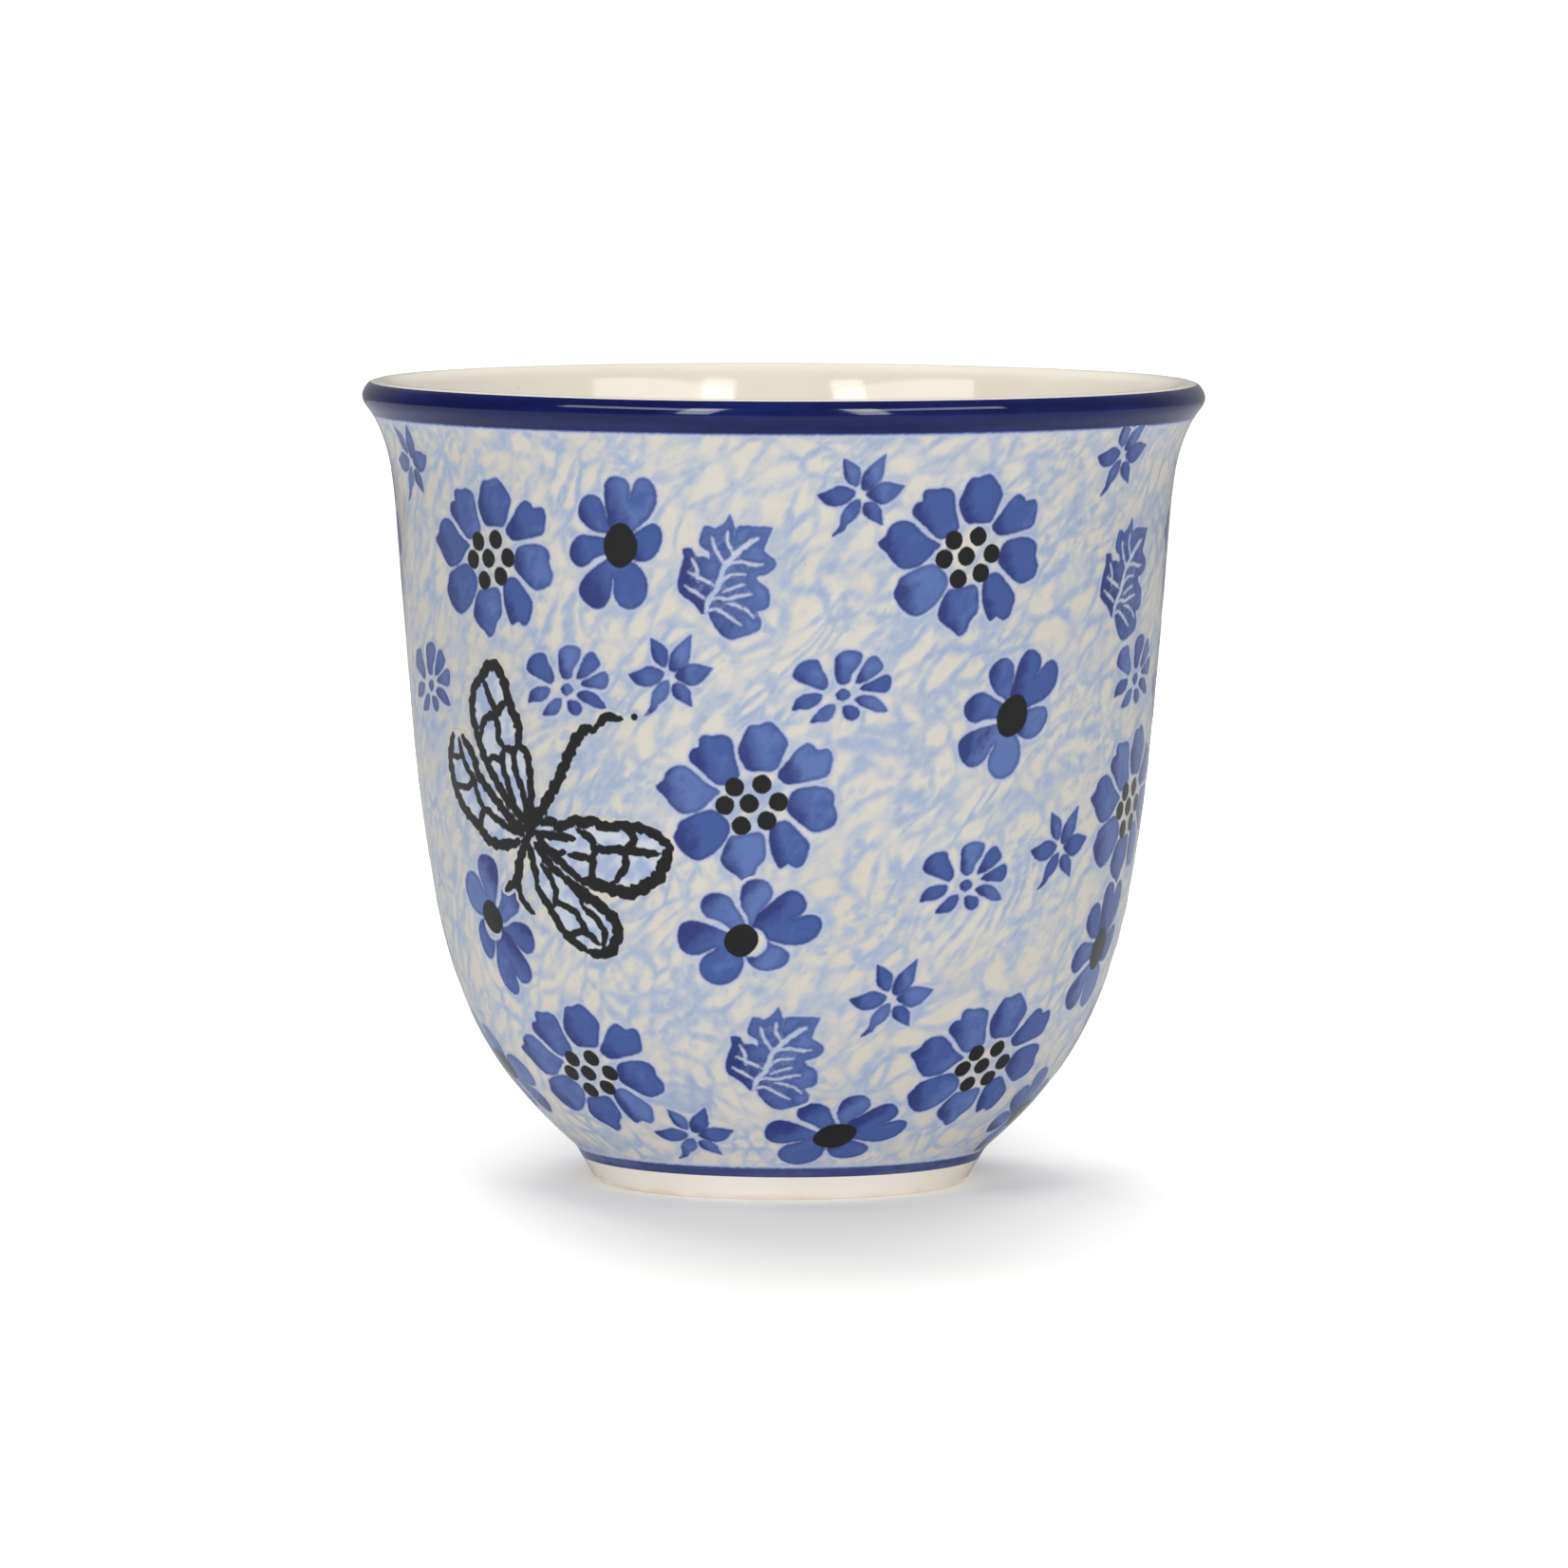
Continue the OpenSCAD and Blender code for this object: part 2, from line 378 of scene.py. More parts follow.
ROSETTE_PETALS = (
    ((-.9, 3.1), (-.8, 4.2), (.2, 4.8), (1.3, 4.8), (2, 4.4), (1.7, 3.3), (.95, 2.4), (.6, 1.4),
     (-.25, 1.2), (-.8, 1.75)),
    ((1.4, 1.3), (2.05, 2.85), (2.8, 3.95), (3.6, 4.2), (4.1, 3.6), (4.4, 2.95), (3.5, 2.1),
     (2.4, 1.5)),
    ((1.9, .65), (3.5, 1.55), (5, 2.1), (5.35, 1.3), (4.9, .3), (3.9, .3)),
    ((1.3, -.55), (2.15, -.1), (3.5, -.3), (4.35, -1), (4.9, -1.85), (3.7, -1.85), (2.6, -1.4),
     (1.7, -1)),
    ((0, -1.4), (.6, -1.2), (1.6, -1.5), (1.8, -2.3), (1.05, -2.8), (.2, -2.4)),
    ((-.9, -1.1), (-1, -2), (-1.6, -2.8), (-2.7, -2.95), (-3.5, -3), (-2.9, -2.1), (-2, -1.3)),
    ((-2.35, 0), (-2.7, -.9), (-3.8, -1.5), (-4.75, -1.5), (-5.5, -1.7), (-5.1, -.55),
     (-4.2, 0), (-3.1, .1)),
    ((-1.8, .9), (-2.2, .55), (-3.5, 1), (-4.9, 1.5), (-5.5, 2), (-5.1, 3.1), (-4.2, 3.7),
     (-2.9, 3.8), (-2.45, 2.85), (-1.8, 1.75)),
    ((-.8, 0), (-.1, -.65), (.8, 0), (.1, .65)),
)

LEAF_OUTLINE = (
    (-2.1, -3.8), (-2.5, -4.1), (-2.9, -4.1), (-3.7, -3.1), (-5.2, -2), (-5.5, -1.3), (-5.3, .3),
    (-4.8, 1.9), (-4.9, 2.8), (-4, 2.9), (-3.6, 2.1), (-2.5, 2), (-2, 1.7), (-1.9, 2.6),
    (-2.9, 3.3), (-3, 4), (-2.5, 5.4), (-1.9, 5.4), (-1.4, 5.1), (-.3, 5.8), (.3, 6.7, 1),
    (.7, 5.5), (.8, 4, 1), (1.2, 5.4), (3.5, 5.4), (4.9, 5.3, 1), (4.1, 3.4), (4, 2.7), (5.1, 1.8),
    (5.2, 1.1), (4.3, .3), (3.1, 0), (3.4, -.7), (4.4, -1.5), (4.5, -2.9), (4.2, -3.5),
    (3.1, -3.9), (3.5, -4.7), (3.4, -5.8), (1.6, -6.6), (.2, -6.9), (-.9, -6.2), (-1.9, -4.7),
)
# Lines left bare in the leaf: width, then the points they run through
LEAF_VEINS = (
    (.5, (-2.5, -4.1), (-2.1, -2.7), (-1.1, -1.2), (-.6, .4), (-.2, 1.2), (.8, 2.3), (1.9, 3.3),
     (3.4, 4.2)),
    (.3, (-.2, 1.2), (-1.1, 2.5), (-1.4, 3.2), (-1.7, 4.3)),
    (.3, (.8, 2.3), (.3, 3.1), (0, 3.9), (.1, 4.9)),
    (.3, (-.2, 1.2), (1.4, 1.6), (2.6, 1.3), (3.9, 1.3)),
    (.25, (-.9, -1), (-.1, -.1), (.6, .2), (2, .2)),
    (.3, (-2.1, -2.7), (-1.1, -2.4), (.1, -2.5), (1.5, -2.1), (2.7, -2)),
    (.3, (-2.5, -2.6), (-3.4, -1.9), (-4.2, -1.5), (-4.8, -1.1)),
    (.3, (-1.3, -1.2), (-2.5, -.5), (-3.4, -.1), (-4.4, .4)),
    (.3, (-3.3, -.7), (-3.4, .7), (-4, 1.9)),
    (.3, (-2.3, -3.8), (-1.1, -3.7), (.3, -4.6), (1.5, -5.4)),
    (.25, (-.2, -3), (.9, -3.2), (2.2, -3.8), (2.8, -4.6)),
    (.25, (-.6, -1.8), (.5, -1.3), (1.8, -.9)),
)

# Dragonfly lines from its thorax: width, then the points they run through
DRAGONFLY_BODY = (
    (1.15, (0, 0), (1.1, 1.3), (2.9, 3.5), (4.7, 5.9), (6.2, 8.4), (7.4, 10.3), (8.9, 11.7),
     (9.8, 11.5)),
    (.85, (10.3, 11.9), (11.6, 13), (13.4, 12.8)),
    (.6, (15.05, 13), (15.15, 13)),
    (1.5, (-.2, -.4), (.3, .5)),
    (.9, (-.1, -.2), (-1, -1.6), (-2.4, -4), (-3, -5.7), (-5, -7.1)),
    (.7, (-1.6, -2.6), (-2, -4), (-2.8, -6.8), (-2.1, -8.4), (-.9, -9.4)),
)
DRAGONFLY_VEINS = (
    (.7, (-.5, .8), (-1.9, 2.1), (-3.4, 3.3), (-5.3, 5.6), (-6.9, 7.8), (-7.9, 10), (-8.7, 12.5),
     (-8.3, 14.8), (-7.4, 16.4)),
    (.8, (-7.5, 15.8), (-5.6, 17.7), (-4.4, 18.3), (-3.3, 17.6), (-2.5, 16.1), (-2, 14.3),
     (-1.3, 12.9), (-.6, 11.4), (-1, 9.7)),
    (.6, (-1, 9.7), (.3, 8.7), (.6, 6.8), (.6, 4.5), (.4, 2.2), (.1, .8)),
    (.55, (-6.1, 16.2), (-5.1, 14.3), (-4, 12.8), (-3.4, 13.7), (-2, 14.3)),
    (.55, (-7.2, 10.3), (-6.5, 11.9), (-4.9, 12.5), (-4.1, 11.6), (-4.1, 10), (-3.3, 9.1)),
    (.6, (-3.3, 9.1), (-1.6, 8.8), (-1, 9.7)),
    (.45, (-6.2, 7.3), (-5, 7.9), (-3.8, 7.3)),
    (.55, (-3.3, 8.9), (-3.7, 7.3), (-2.9, 4.8), (-2.1, 2.5), (-1, 1)),
    (.55, (-1.6, 8.8), (-1.7, 6.9), (-.9, 4.9), (-.4, 3.1), (-.3, 1.2)),
    (.5, (-6.2, 7.1), (-6, 6.2), (-5, 5.1), (-3.4, 3.6)),
    (.7, (-11.1, 9.6), (-9, 7.6), (-8.4, 5.8), (-6.3, 3.9), (-4.3, 2.2), (-2.7, .9), (-.8, .1)),
    (.75, (-13.3, 9.6), (-14.3, 6.8), (-13.9, 4.5), (-13.1, 2.9), (-11.7, 1.4), (-8.5, -.5),
     (-7.8, -1.3), (-6.3, -1.9), (-4.1, -1.9), (-2, -1.4)),
    (.5, (-11.9, 9.3), (-11.6, 7.9), (-10.5, 6.1), (-9.3, 5.1), (-8.7, 3.2), (-7.5, 1.7)),
    (.45, (-12.9, 3.9), (-10.3, 4.1), (-9.4, 5.2)),
    (.45, (-13.6, 7.2), (-11.9, 7.3)),
    (.5, (-8.4, -.5), (-8.3, .9), (-7.3, 1.8), (-5.9, 1.1), (-3.5, .1), (-1.2, -.5)),
    (.65, (1.8, .9), (3.4, 1.2), (4.3, .6), (6.7, 1.5), (7.6, 1), (9, 1.5), (10.2, .8),
     (12.8, .9), (15.2, .5), (17, -.5), (18, -1.6)),
    (.9, (18, -1.6), (17.1, -3.5), (16, -5.1), (12.9, -6.6), (10.9, -6.3), (8.9, -5.8),
     (6.8, -5.4)),
    (.55, (.8, -.2), (2.9, -.4), (6.2, -.6)),
    (.55, (6.9, .3), (8.5, -.6), (9.1, -1.7), (12.5, -1.8), (16.4, -2.3)),
    (.5, (12.7, .8), (13.9, -.6), (12.7, -2), (12.5, -3.6), (11.1, -5.3)),
    (.5, (5.4, -2.5), (8.2, -2.9), (8.2, -4.3), (8.1, -5.7)),
    (.5, (9.1, -1.7), (8.2, -2.9)),
    (.55, (1, -.5), (2.9, -2.3), (4.7, -2.2)),
    (.55, (1.2, -1.4), (3.7, -3.1), (5.8, -4.7), (6.5, -5.3)),
    (.6, (-.4, -1.5), (0, -3.8), (.3, -5.7)),
    (.6, (.1, -6.3), (1.7, -8.6), (3.6, -11.6), (6.1, -13.3)),
    (.6, (.6, -1.5), (2.5, -3.7), (4.2, -5)),
    (.8, (4.4, -5.2), (6.6, -6.7), (8.8, -8.2), (10.4, -9.8), (10.6, -11.2), (9.6, -13.1),
     (7.9, -13.7), (6.6, -13.5)),
    (.45, (1.2, -3.8), (2.3, -5.1), (2.9, -6.9), (2.4, -8.4)),
    (.45, (2.7, -7.9), (5.2, -8.9), (6.3, -10.7), (6.7, -11.4)),
    (.45, (4.7, -5.4), (6.3, -7.2), (6.3, -7.9)),
    (.45, (6.5, -8.4), (8.1, -9.7), (8.9, -11.3), (8.5, -12.7)),
    (.45, (3.8, -11.8), (6.2, -11.2), (7.9, -12.5)),
)
# The wings' cells, washed with thin blue
DRAGONFLY_WINGS = (
    ((-.3, .9), (-3.4, 3.3), (-5.3, 5.6), (-6.9, 7.8), (-7.9, 10), (-8.7, 12.5), (-8.3, 14.8),
     (-6.8, 16.7), (-4.4, 18.3), (-3.3, 17.6), (-2.5, 16.1), (-1.3, 12.9), (-.6, 11.4),
     (-1, 9.7), (.3, 8.7), (.6, 6.8), (.6, 4.5), (.3, 1.6)),
    ((-.8, .1), (-2.7, .9), (-6.3, 3.9), (-8.4, 5.8), (-9, 7.6), (-11.1, 9.6), (-13.3, 9.6),
     (-14.3, 6.8), (-13.9, 4.5), (-13.1, 2.9), (-11.7, 1.4), (-8.5, -.5), (-6.3, -1.9),
     (-4.1, -1.9), (-1.5, -1)),
    ((.8, -.1), (3.4, 1.2), (6.7, 1.4), (10.2, 1), (15.2, .5), (17, -.5), (18, -1.6),
     (17.1, -3.5), (16, -5.1), (12.9, -6.6), (8.9, -5.8), (6.8, -5.4), (3.7, -3.1), (1, -1)),
    ((0, -1.5), (.1, -5.7), (1.7, -8.6), (3.6, -11.6), (6.1, -13.4), (7.9, -13.7), (9.6, -13.1),
     (10.6, -11.2), (10.4, -9.8), (8.8, -8.2), (4.4, -5.2), (1, -1.8)),
)


# ---------------------------------------------------------------- stamps as flat meshes

# Spacing of points along an outline, and of the points that fill the figure
POINT_STEP = 0.42
FILL_STEP = 0.95
# Width of the soft fringe round the ink, and depth of the ring of points just inside its edge
FRINGE = 0.5
SOFT_INNER = 0.3
FILL_CLEAR = 1.6 * SOFT_INNER
# Points nearer than this are joined, and this keeps a division from one by nought
JOIN = 1e-4
LEAST = 1e-12
# Lines in the wings are inked this many times as wide as listed, and those left bare in the leaf
# are this much wider and this blunt
WING_LINE_GAIN = 1.45
LEAF_LINE_EXTRA = 0.33
LEAF_LINE_TAPER = 0.75
DRAGONFLY_WOBBLE = 0.2
# Depths stored at the vertices have this value on an outline, and grow inwards
ON_EDGE = 0.5
DEEPEST = 2
NO_INK = 9.0
# The direction across a petal in which its blue darkens
SHADE_SIDE = np.array((-0.95, -0.3))


def smooth(points, closed=True):
    """A curve through given points, straight-ended at sharp corners, sampled evenly."""
    p = [np.array(q[:2], float) for q in points]
    sharp = [len(q) > 2 for q in points]
    count, path = len(p), []
    for i in range(count if closed else count - 1):
        a, b = p[i], p[(i + 1) % count]
        free_start = (closed or i > 0) and not sharp[i]
        free_end = (closed or i + 2 < count) and not sharp[(i + 1) % count]
        before = p[i - 1] if free_start else a
        after = p[(i + 2) % count] if free_end else b
        slope_a, slope_b = (b - before) / 2, (after - a) / 2
        steps = max(1, round(np.linalg.norm(b - a) / POINT_STEP))
        t = (np.arange(steps) / steps)[:, None]
        path.append((2 * t ** 3 - 3 * t * t + 1) * a + (t ** 3 - 2 * t * t + t) * slope_a
                    + (3 * t * t - 2 * t ** 3) * b + (t ** 3 - t * t) * slope_b)
    if not closed:
        path.append(p[-1][None])
    return np.vstack(path)


def circle(x, y, rx, ry=None, tilt=0.0, lobes=0.04):
    """A hand-made round: an oval whose edge is a little uneven."""
    ry = ry or rx
    count = max(10, round(2 * math.pi * rx / POINT_STEP))
    a = np.arange(count) * 2 * math.pi / count
    wobble = 1 + lobes * np.cos(4 * a + 5 * x + 3 * y) + lobes / 2 * np.cos(3 * a + 7 * y)
    u, v = rx * wobble * np.cos(a), ry * wobble * np.sin(a)
    c, s = math.cos(tilt), math.sin(tilt)
    return np.stack([x + u * c - v * s, y + u * s + v * c], 1)


def ribbon(width, points, wobble=0.12, taper=0.55):
    """The closed outline of a brushed line: uneven, and narrower at its two ends. A line too
    short for that is a dot."""
    path = smooth(points, closed=False)
    if len(path) < 4:
        return circle(*path.mean(0), width / 2)
    along = np.gradient(path, axis=0)
    along /= np.linalg.norm(along, axis=1)[:, None]
    side = np.stack([-along[:, 1], along[:, 0]], 1)
    step = np.arange(len(path))
    ends = np.minimum(step, step[::-1]) * POINT_STEP
    half = width / 2 * (taper + (1 - taper) * np.clip(ends / (1.5 * width), 0, 1))
    phase = 3 * path[0, 0] + 5 * path[0, 1]
    left = half * (1 + wobble * np.sin(2.1 * step + phase) + wobble * np.sin(1.3 * step + phase))
    right = half * (1 + wobble * np.sin(1.7 * step - phase) + wobble * np.sin(2.6 * step + phase))
    tip = along[[0, -1]] * (width / 3)
    return np.vstack([path[:1] - tip[:1], path + side * left[:, None], path[-1:] + tip[1:],
                      (path - side * right[:, None])[::-1]])


def distance(points, outline):
    """Signed distance from each point to a closed outline, negative inside it."""
    a, b = outline, np.roll(outline, -1, 0)
    ab = b - a
    t = ((points[:, None] - a) * ab).sum(2) / np.maximum((ab * ab).sum(1), LEAST)
    gap = np.linalg.norm(points[:, None] - (a + np.clip(t, 0, 1)[..., None] * ab), axis=2).min(1)
    y, crossing = points[:, 1:2], (a[:, 1] > points[:, 1:2]) != (b[:, 1] > points[:, 1:2])
    at_x = a[:, 0] + (y - a[:, 1]) / np.where(ab[:, 1] == 0, LEAST, ab[:, 1]) * ab[:, 0]
    inside = (crossing & (points[:, :1] < at_x)).sum(1) % 2 == 1
    return np.where(inside, -gap, gap)


def nearest(points, outlines):
    """Signed distance to the nearest of the outlines, and which one it is."""
    if not outlines:
        return np.full(len(points), NO_INK), np.zeros(len(points), int)
    gaps = np.stack([distance(points, o) for o in outlines])
    return gaps.min(0), gaps.argmin(0)


def offset(outline, by):
    """An outline moved outwards by a few tenths of a millimetre."""
    x, y = outline.T
    turn = np.sign((x * np.roll(y, -1) - y * np.roll(x, -1)).sum())
    along = np.roll(outline, -1, 0) - np.roll(outline, 1, 0)
    along /= np.maximum(np.linalg.norm(along, axis=1)[:, None], TINY)
    return outline + np.stack([along[:, 1], -along[:, 0]], 1) * turn * by


def filled(outlines, clear_of):
    """Staggered rows of points over the outlines' box, clear of the given lines."""
    lo, hi = np.vstack(outlines).min(0), np.vstack(outlines).max(0)
    grid = np.stack(np.meshgrid(np.arange(lo[0], hi[0], FILL_STEP),
                                np.arange(lo[1], hi[1], FILL_STEP)), -1).reshape(-1, 2)
    row = np.round((grid[:, 1] - lo[1]) / FILL_STEP)
    grid[:, 0] += row % 2 * FILL_STEP / 2
    return grid[np.abs(nearest(grid, clear_of)[0]) > FILL_CLEAR]


def triangulated(loops, loose):
    """Points and triangles with an edge along each closed loop, through the loose points too."""
    edges, start = [], 0
    for loop in loops:
        n = len(loop)
        edges += [(start + i, start + (i + 1) % n) for i in range(n)]
        start += n
    points = [Vector(p) for p in np.vstack(loops + loose)]
    made = geometry.delaunay_2d_cdt(points, edges, [], 0, JOIN, False)
    return np.array([tuple(p) for p in made[0]]), np.array([tuple(f) for f in made[2]])


class Stamp:
    """A flat mesh of a stamped figure with its fringe. At each vertex it holds how deep that is
    in the blue, black and washed ink, which petal is nearest, and where across it the point is."""

    def __init__(self, blue, black=(), cuts=(), wash=(), spines=()):
        blue, black, cuts, wash = list(blue), list(black), list(cuts), list(wash)
        ink = blue + black + wash
        rim = [offset(o, FRINGE) for o in ink]
        beside = [offset(o, by) for o in ink for by in (-SOFT_INNER, FRINGE / 2)]
        lines = ink + cuts
        loose = beside + list(spines) + [filled(rim, lines)]
        point, faces = triangulated(lines + rim, loose)
        faces = faces[nearest(point[faces].mean(1), ink)[0] < FRINGE]
        used = np.unique(faces)
        renumber = np.full(len(point), -1)
        renumber[used] = np.arange(len(used))
        self.point, self.faces = point[used], renumber[faces]
        a, b, c = (self.point[self.faces[:, i]] for i in range(3))
        flip = np.cross(b - a, c - a) < 0
        self.faces[flip] = self.faces[flip][:, ::-1]

        gap, self.petal = nearest(self.point, blue)
        if cuts:
            gap = np.maximum(gap, -nearest(self.point, cuts)[0])
        self.blue = np.clip(ON_EDGE - gap, 0, DEEPEST)
        self.black, self.wash = (np.clip(ON_EDGE - nearest(self.point, kind)[0], 0, DEEPEST)
                                 for kind in (black, wash))
        self.side = np.zeros(len(self.point))
        for i, outline in enumerate(blue):
            mine = self.petal == i
            middle = outline.mean(0)
            reach = ((outline - middle) @ SHADE_SIDE).max()
            self.side[mine] = np.clip((self.point[mine] - middle) @ SHADE_SIDE / reach, -1, 1)


def spines(lines):
    """The middle of each brushed line, where the ink is farthest from its edge."""
    return [smooth(v[1:], closed=False) for v in lines]


def stamps():
    """The seven stamps. The eyed flower's black eye sits beside a pale round centre."""
    large, rounded, star, rosette, wings = (
        [smooth(p) for p in petals]
        for petals in (LARGE_PETALS, ROUND_PETALS, STAR_PETALS, ROSETTE_PETALS, DRAGONFLY_WINGS))
    dots = [circle(x, y, LARGE_DOT_R, lobes=0.02) for x, y in LARGE_DOTS]
    eye = circle(-0.1, 0.1, 1.9, 2.35, -0.15, 0.02)
    low_eye = circle(-0.17, -0.74, 1.65, 1.9, 0.15, 0.02)
    pale_centre = circle(0.7, 0.1, 1.75, lobes=0.02)
    veins = [ribbon(v[0] + LEAF_LINE_EXTRA, v[1:], taper=LEAF_LINE_TAPER) for v in LEAF_VEINS]
    black = [ribbon(v[0], v[1:], DRAGONFLY_WOBBLE) for v in DRAGONFLY_BODY]
    black += [ribbon(v[0] * WING_LINE_GAIN, v[1:], DRAGONFLY_WOBBLE) for v in DRAGONFLY_VEINS]
    return {
        "flower_large": Stamp(large, dots),
        "flower_round": Stamp(rounded, [eye]),
        "flower_eyed": Stamp(rounded, [low_eye], cuts=[pale_centre]),
        "star": Stamp(star),
        "rosette": Stamp(rosette),
        "leaf": Stamp([smooth(LEAF_OUTLINE)], cuts=veins, spines=spines(LEAF_VEINS)),
        "dragonfly": Stamp([], black, wash=wings, spines=spines(DRAGONFLY_BODY + DRAGONFLY_VEINS)),
    }


# Where each figure sits: angle round the cup, height, and the angle it is turned by if not nought
PLACES = {
    "flower_large": ((-48.5, 72), (27.5, 73), (-5, 46), (-41, 14.5), (42, 15.5), (71, 43.5),
                     (93, 72.5), (135, 73, 40), (171, 71.5, -25), (213, 73, 70), (267, 72, 15),
                     (121, 43, -50), (208, 44.5, 20), (262, 43.5, 100), (112, 15, 30),
                     (184, 15, -40), (259, 15.8, 60)),
    "flower_round": ((-24, 74), (37, 55, -22), (12.5, 7.75, -60), (68.5, 27.5), (73, 8.5, 60),
                     (114, 73.5, 80), (192, 72.5, -60), (247, 74, 20), (96, 44, -30),
                     (134, 29, 110), (235, 43, 50), (161, 7.75, 15), (234, 7.4, 140),
                     (286.5, 14, 70)),
    "flower_eyed": ((-5.5, 31, -54), (-55, 31, -148), (248, 30.5, -70)),
    "star": ((11, 80), (-17, 60), (56.5, 83.5), (-68.5, 82), (19, 24), (49.5, 40), (-21, 7.75),
             (104, 82.5, 20), (151, 82.5, -15), (182, 82.5, 30), (229, 82.5, 5), (256, 84, -20),
             (107, 58, 25), (149, 57, -10), (197, 57.5, 15), (240, 57, 40), (94, 29.5, -30),
             (213, 28, 10), (131, 7.75, 30), (204, 7.75, 20)),
    "rosette": ((-34, 58), (9, 58), (30.5, 36.5), (-68, 57), (68.5, 58), (88, 57.5, 40),
                (129, 58.5, -35), (219, 59, 80), (262, 58, 20), (114, 29, 60), (192, 29.5, -20),
                (231, 29.5, 30), (271, 29, 120)),
    "leaf": ((-8, 71), (-1, 17), (62, 69.5), (153, 70, 25), (231, 70.5, -20), (88, 17, 40),
             (148, 17, -15), (221, 17, 30)),
    "dragonfly": ((-43, 42), (168, 42, -12)),
}
# How far each kind stands over the wall, so that where two cross one is clearly above. Each next
# one of a kind stands a hair higher, and their backs are sunk into the wall.
LIFTS = {"flower_large": 0.02, "flower_round": 0.024, "flower_eyed": 0.026, "star": 0.028,
         "rosette": 0.032, "leaf": 0.036, "dragonfly": 0.044}
LIFT_STEP = 0.0003
SUNK = 0.06
# Inlays end this far short of the wall's ends
END_GAP = 0.05
# Where the wall is all but upright, it is unrolled as a cone this steep
LEAST_SLOPE = 1e-3


def on_wall(x, y, angle, s0, turn):
    """Angles and lengths on the wall of flat points stamped there, as on a cone unrolled."""
    c, s = math.cos(math.radians(turn)), math.sin(math.radians(turn))
    across, up = x * c - y * s, x * s + y * c
    r0, _, _, nz0 = wall.at(s0)
    slope = max(-nz0, LEAST_SLOPE)
    slant = r0 / slope
    reach = np.hypot(slant + up, across)
    return math.radians(angle) + np.arctan2(across, slant + up) / slope, s0 + reach - slant


def inlay(name, stamp, angle, height, turn, lift, material, slot, rng):
    """A stamped figure as a thin closed piece that follows the wall."""
    theta, s = on_wall(*stamp.point.T, angle, wall.at_height(height), turn)
    s = np.clip(s, wall.start + END_GAP, wall.end - END_GAP)
    top, normal = surface(wall, theta, s, lift)
    under = surface(wall, theta, s, -SUNK)[0]
    faces, count = stamp.faces, len(top)
    # An edge met only once, in one direction, lies on the border
    sides = {}
    for a, b, c in faces.tolist():
        for i, j in ((a, b), (b, c), (c, a)):
            if sides.pop((j, i), None) is None:
                sides[(i, j)] = True
    walls = [(i, i + count, j + count, j) for i, j in sides]
    all_faces = faces.tolist() + (faces[:, ::-1] + count).tolist() + walls
    normals = list(normal[faces.ravel()]) + list(-normal[faces[:, ::-1].ravel()])
    for i, j in sides:
        normals += [normal[i], normal[i], normal[j], normal[j]]
    piece = new_piece(name, np.vstack([top, under]), all_faces, normals, material, slot)
    r, z, _, _ = wall.at(s)
    place = wrap(theta, r, z)
    tones = np.array([rng.uniform(-1, 1) for _ in range(int(stamp.petal.max()) + 1)])
    for key, values in (("blue", stamp.blue), ("black", stamp.black), ("wash", stamp.wash),
                        ("side", stamp.side), ("tone", tones[stamp.petal]), ("wrap", place)):
        add_attribute(piece, key, np.concatenate([values, values]))
    return piece


# ---------------------------------------------------------------- materials

def rgb(*srgb):
    """A colour given as 0 to 255 on screen, in Blender's linear values."""
    parts = [v / 255 for v in srgb]
    return (*(v / 12.92 if v <= 0.04045 else ((v + 0.055) / 1.055) ** 2.4 for v in parts), 1)


